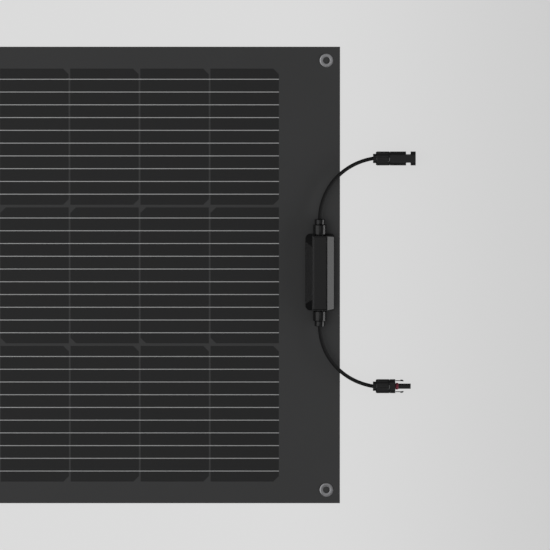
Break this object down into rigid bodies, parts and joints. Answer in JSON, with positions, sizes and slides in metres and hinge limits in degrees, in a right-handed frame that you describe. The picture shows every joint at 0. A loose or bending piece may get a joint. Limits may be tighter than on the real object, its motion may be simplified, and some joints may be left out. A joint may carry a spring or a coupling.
{
  "type": "flexible solar sheet",
  "caption": "Thin flexible photovoltaic sheet of half-cut cells, with a low junction box near one end and two leads ending in mating solar couplers.",
  "frame": {"origin": "middle of the sheet's underside, leads and couplers left out", "axes": "+X along the sheet's length, towards the junction box; +Y across it, towards the pin lead; +Z out of the sheet's face"},
  "size_m": [1.1559, 0.612, 0.0209],
  "materials": {
    "front_film": "satin clear film over black",
    "cells": "dark silicon cells in encapsulant",
    "back_sheet": "matte glass-fibre filled sheet",
    "box_plastic": "fine moulded texture",
    "coupler_plastic": "fine moulded texture",
    "cable_jacket": "smooth extruded",
    "seal_rubber": "matte",
    "red_seal": "satin",
    "eyelet_metal": "plated",
    "contact_metal": "tinned",
    "diode_body": "moulded"
  },
  "bodies": {
    "root": {"back_sheet_01": "back_sheet", "cell_layer_01": "cells", "front_film_01": "front_film", "eyelet_01": "eyelet_metal", "eyelet_02": "eyelet_metal", "box_housing": "box_plastic", "box_lid": "box_plastic", "bypass_diode": "diode_body", "pin_terminal": "contact_metal", "pin_gland_body": "box_plastic", "pin_gland_seal": "seal_rubber", "pin_cable_tail": "cable_jacket", "socket_terminal": "contact_metal", "socket_gland_body": "box_plastic", "socket_gland_seal": "seal_rubber", "socket_cable_tail": "cable_jacket"},
    "strip_02": {"back_sheet_02": "back_sheet", "cell_layer_02": "cells", "front_film_02": "front_film"},
    "strip_03": {"back_sheet_03": "back_sheet", "cell_layer_03": "cells", "front_film_03": "front_film"},
    "strip_04": {"back_sheet_04": "back_sheet", "cell_layer_04": "cells", "front_film_04": "front_film"},
    "strip_05": {"back_sheet_05": "back_sheet", "cell_layer_05": "cells", "front_film_05": "front_film"},
    "strip_06": {"back_sheet_06": "back_sheet", "cell_layer_06": "cells", "front_film_06": "front_film"},
    "strip_07": {"back_sheet_07": "back_sheet", "cell_layer_07": "cells", "front_film_07": "front_film"},
    "strip_08": {"back_sheet_08": "back_sheet", "cell_layer_08": "cells", "front_film_08": "front_film"},
    "strip_09": {"back_sheet_09": "back_sheet", "cell_layer_09": "cells", "front_film_09": "front_film"},
    "strip_10": {"back_sheet_10": "back_sheet", "cell_layer_10": "cells", "front_film_10": "front_film", "eyelet_03": "eyelet_metal", "eyelet_04": "eyelet_metal"},
    "pin_gland_nut": {"pin_gland_nut": "box_plastic"},
    "socket_gland_nut": {"socket_gland_nut": "box_plastic"},
    "pin_lead": {"pin_cable": "cable_jacket", "pin_coupler_shell": "coupler_plastic", "pin_coupler_seal": "seal_rubber", "pin_contact": "contact_metal"},
    "socket_lead": {"socket_cable": "cable_jacket", "socket_coupler_probe": "coupler_plastic", "socket_coupler_seal": "seal_rubber", "socket_contact": "contact_metal", "socket_seal_ring": "red_seal"},
    "pin_coupler_nut": {"pin_coupler_nut": "coupler_plastic"},
    "socket_coupler_nut": {"socket_coupler_nut": "coupler_plastic"},
    "latch_arm_left": {"socket_latch_arm_left": "coupler_plastic"},
    "latch_arm_right": {"socket_latch_arm_right": "coupler_plastic"}
  },
  "joints": [
    {"name": "bow_1", "type": "hinge", "parent": "root", "child": "strip_02", "pos_m": [0.35355, 0, 0.00125], "axis": [0, 1, 0], "range_deg": [0, 22], "stiffness_Nm_per_rad": 12},
    {"name": "bow_2", "type": "hinge", "parent": "strip_02", "child": "strip_03", "pos_m": [0.26005, 0, 0.00125], "axis": [0, 1, 0], "range_deg": [0, 22], "stiffness_Nm_per_rad": 12},
    {"name": "bow_3", "type": "hinge", "parent": "strip_03", "child": "strip_04", "pos_m": [0.16655, 0, 0.00125], "axis": [0, 1, 0], "range_deg": [-12.62, 0], "stiffness_Nm_per_rad": 12},
    {"name": "bow_4", "type": "hinge", "parent": "strip_04", "child": "strip_05", "pos_m": [0.07305, 0, 0.00125], "axis": [0, 1, 0], "range_deg": [-12.62, 0], "stiffness_Nm_per_rad": 12},
    {"name": "bow_5", "type": "hinge", "parent": "strip_05", "child": "strip_06", "pos_m": [-0.02045, 0, 0.00125], "axis": [0, 1, 0], "range_deg": [-12.62, 0], "stiffness_Nm_per_rad": 12},
    {"name": "bow_6", "type": "hinge", "parent": "strip_06", "child": "strip_07", "pos_m": [-0.11395, 0, 0.00125], "axis": [0, 1, 0], "range_deg": [-12.62, 0], "stiffness_Nm_per_rad": 12},
    {"name": "bow_7", "type": "hinge", "parent": "strip_07", "child": "strip_08", "pos_m": [-0.20745, 0, 0.00125], "axis": [0, 1, 0], "range_deg": [-12.62, 0], "stiffness_Nm_per_rad": 12},
    {"name": "bow_8", "type": "hinge", "parent": "strip_08", "child": "strip_09", "pos_m": [-0.30095, 0, 0.00125], "axis": [0, 1, 0], "range_deg": [-12.62, 0], "stiffness_Nm_per_rad": 12},
    {"name": "bow_9", "type": "hinge", "parent": "strip_09", "child": "strip_10", "pos_m": [-0.39445, 0, 0.00125], "axis": [0, 1, 0], "range_deg": [-12.62, 0], "stiffness_Nm_per_rad": 12},
    {"name": "pin_lead_swing", "type": "hinge", "parent": "root", "child": "pin_lead", "pos_m": [0.5006, 0.076, 0.0118], "axis": [0, 0, 1], "range_deg": [-30, 15]},
    {"name": "pin_gland_nut_turn", "type": "hinge", "parent": "root", "child": "pin_gland_nut", "pos_m": [0.5006, 0.072, 0.0118], "axis": [0, 1, 0], "range_deg": [0, 540]},
    {"name": "pin_coupler_nut_turn", "type": "hinge", "parent": "pin_lead", "child": "pin_coupler_nut", "pos_m": [0.5836, 0.1573, 0.00935], "axis": [-1, 0, 0], "range_deg": [0, 540]},
    {"name": "socket_lead_swing", "type": "hinge", "parent": "root", "child": "socket_lead", "pos_m": [0.5006, -0.067, 0.0118], "axis": [0, 0, 1], "range_deg": [-15, 30]},
    {"name": "socket_gland_nut_turn", "type": "hinge", "parent": "root", "child": "socket_gland_nut", "pos_m": [0.5006, -0.063, 0.0118], "axis": [0, -1, 0], "range_deg": [0, 540]},
    {"name": "socket_coupler_nut_turn", "type": "hinge", "parent": "socket_lead", "child": "socket_coupler_nut", "pos_m": [0.5836, -0.148, 0.00935], "axis": [-1, 0, 0], "range_deg": [0, 540]},
    {"name": "latch_left_press", "type": "hinge", "parent": "socket_lead", "child": "latch_arm_left", "pos_m": [0.6014, -0.1407, 0.00935], "axis": [0, 0, -1], "range_deg": [0, 7], "stiffness_Nm_per_rad": 0.8},
    {"name": "latch_right_press", "type": "hinge", "parent": "socket_lead", "child": "latch_arm_right", "pos_m": [0.6014, -0.1553, 0.00935], "axis": [0, 0, 1], "range_deg": [0, 7], "stiffness_Nm_per_rad": 0.8}
  ],
  "couplings": [
    {"joint": "bow_2", "follows": "bow_1", "ratio": 1},
    {"joint": "bow_3", "follows": "bow_1", "ratio": -0.57143},
    {"joint": "bow_4", "follows": "bow_1", "ratio": -0.57143},
    {"joint": "bow_5", "follows": "bow_1", "ratio": -0.57143},
    {"joint": "bow_6", "follows": "bow_1", "ratio": -0.57143},
    {"joint": "bow_7", "follows": "bow_1", "ratio": -0.57143},
    {"joint": "bow_8", "follows": "bow_1", "ratio": -0.57143},
    {"joint": "bow_9", "follows": "bow_1", "ratio": -0.57143}
  ]
}
